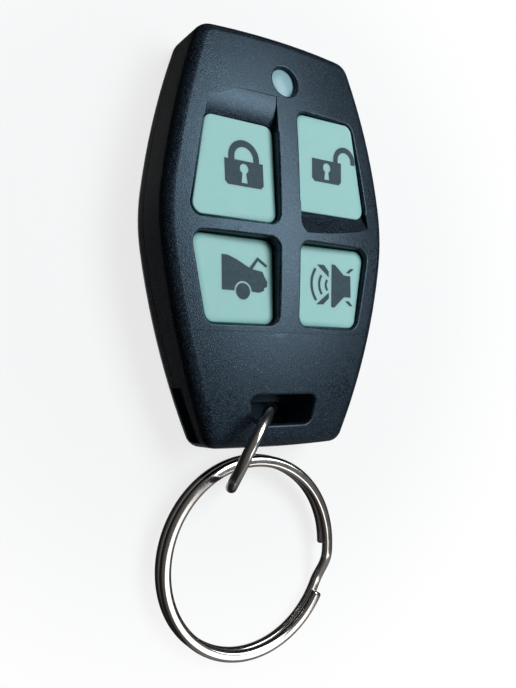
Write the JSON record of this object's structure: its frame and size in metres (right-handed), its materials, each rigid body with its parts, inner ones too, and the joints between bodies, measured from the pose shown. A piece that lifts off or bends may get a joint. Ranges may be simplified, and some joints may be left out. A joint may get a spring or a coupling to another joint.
{
  "type": "car alarm key fob",
  "caption": "Flat hexagonal car alarm key fob with rubber keys sunk in its domed face, a round lamp lens, an end bar and a split ring hanging on a jump ring.",
  "frame": {"origin": "middle of the flat back face, halfway along the case", "axes": "+Z out of the keys, +Y towards the lamp end, +X to the right"},
  "size_m": [0.0382, 0.09, 0.0123],
  "materials": {
    "resistor_ceramic": "glazed ceramic",
    "capacitor_ceramic": "fired ceramic",
    "black_plastic": "fine grain",
    "key_rubber": "matte, pale green",
    "lamp_lens": "milky, pale green",
    "clear_plastic": "milky epoxy",
    "board": "solder mask over glass fibre board",
    "cell_steel": "nickel plated can",
    "spring_metal": "nickel plated spring strip",
    "chip_plastic": "moulded epoxy",
    "can_metal": "plated can",
    "aerial_wire": "bare copper wire",
    "switch_plastic": "moulded",
    "plunger_plastic": "moulded",
    "ring_steel": "polished",
    "ring_nickel": "polished, lightly worn"
  },
  "bodies": {
    "case": {"front_shell": "black_plastic", "rear_shell": "black_plastic", "keypad_web": "key_rubber", "lamp_lens": "lamp_lens", "indicator_led": "clear_plastic", "circuit_board": "board", "coin_cell": "cell_steel", "battery_clip": "spring_metal", "battery_contact": "spring_metal", "control_chip": "chip_plastic", "radio_can": "can_metal", "crystal": "can_metal", "aerial": "aerial_wire", "switch_body_lock": "switch_plastic", "switch_body_unlock": "switch_plastic", "switch_body_boot": "switch_plastic", "switch_body_alarm": "switch_plastic", "resistor_1": "resistor_ceramic", "resistor_2": "resistor_ceramic", "resistor_3": "resistor_ceramic", "resistor_4": "resistor_ceramic", "capacitor_1": "capacitor_ceramic", "capacitor_2": "capacitor_ceramic", "capacitor_3": "capacitor_ceramic", "capacitor_4": "capacitor_ceramic"},
    "key_lock": {"key_lock": "key_rubber"},
    "key_unlock": {"key_unlock": "key_rubber"},
    "key_boot": {"key_boot": "key_rubber"},
    "key_alarm": {"key_alarm": "key_rubber"},
    "plunger_lock": {"switch_plunger_lock": "plunger_plastic"},
    "plunger_unlock": {"switch_plunger_unlock": "plunger_plastic"},
    "plunger_boot": {"switch_plunger_boot": "plunger_plastic"},
    "plunger_alarm": {"switch_plunger_alarm": "plunger_plastic"},
    "jump_ring": {"jump_ring": "ring_steel"},
    "split_ring": {"split_ring": "ring_nickel"}
  },
  "joints": [
    {"name": "key_lock_press", "type": "slide", "parent": "case", "child": "key_lock", "axis": [0, 0, -1], "range_m": [0, 0.0003], "stiffness_N_per_m": 1000, "springref_m": -0.0005},
    {"name": "key_unlock_press", "type": "slide", "parent": "case", "child": "key_unlock", "axis": [0, 0, -1], "range_m": [0, 0.0003], "stiffness_N_per_m": 1000, "springref_m": -0.0005},
    {"name": "key_boot_press", "type": "slide", "parent": "case", "child": "key_boot", "axis": [0, 0, -1], "range_m": [0, 0.0003], "stiffness_N_per_m": 1000, "springref_m": -0.0005},
    {"name": "key_alarm_press", "type": "slide", "parent": "case", "child": "key_alarm", "axis": [0, 0, -1], "range_m": [0, 0.0003], "stiffness_N_per_m": 1000, "springref_m": -0.0005},
    {"name": "switch_lock_press", "type": "slide", "parent": "case", "child": "plunger_lock", "axis": [0, 0, -1], "range_m": [0, 0.0003]},
    {"name": "switch_unlock_press", "type": "slide", "parent": "case", "child": "plunger_unlock", "axis": [0, 0, -1], "range_m": [0, 0.0003]},
    {"name": "switch_boot_press", "type": "slide", "parent": "case", "child": "plunger_boot", "axis": [0, 0, -1], "range_m": [0, 0.0003]},
    {"name": "switch_alarm_press", "type": "slide", "parent": "case", "child": "plunger_alarm", "axis": [0, 0, -1], "range_m": [0, 0.0003]},
    {"name": "jump_ring_swing", "type": "hinge", "parent": "case", "child": "jump_ring", "pos_m": [0, -0.0285, 0.0061], "axis": [1, 0, 0], "range_deg": [-20, 15]},
    {"name": "split_ring_swing", "type": "hinge", "parent": "jump_ring", "child": "split_ring", "pos_m": [-0.00183, -0.03166, 0.00315], "axis": [-1, 0, 0], "range_deg": [-40, 60]}
  ],
  "couplings": [
    {"joint": "switch_lock_press", "follows": "key_lock_press", "ratio": 1},
    {"joint": "switch_unlock_press", "follows": "key_unlock_press", "ratio": 1},
    {"joint": "switch_boot_press", "follows": "key_boot_press", "ratio": 1},
    {"joint": "switch_alarm_press", "follows": "key_alarm_press", "ratio": 1}
  ]
}
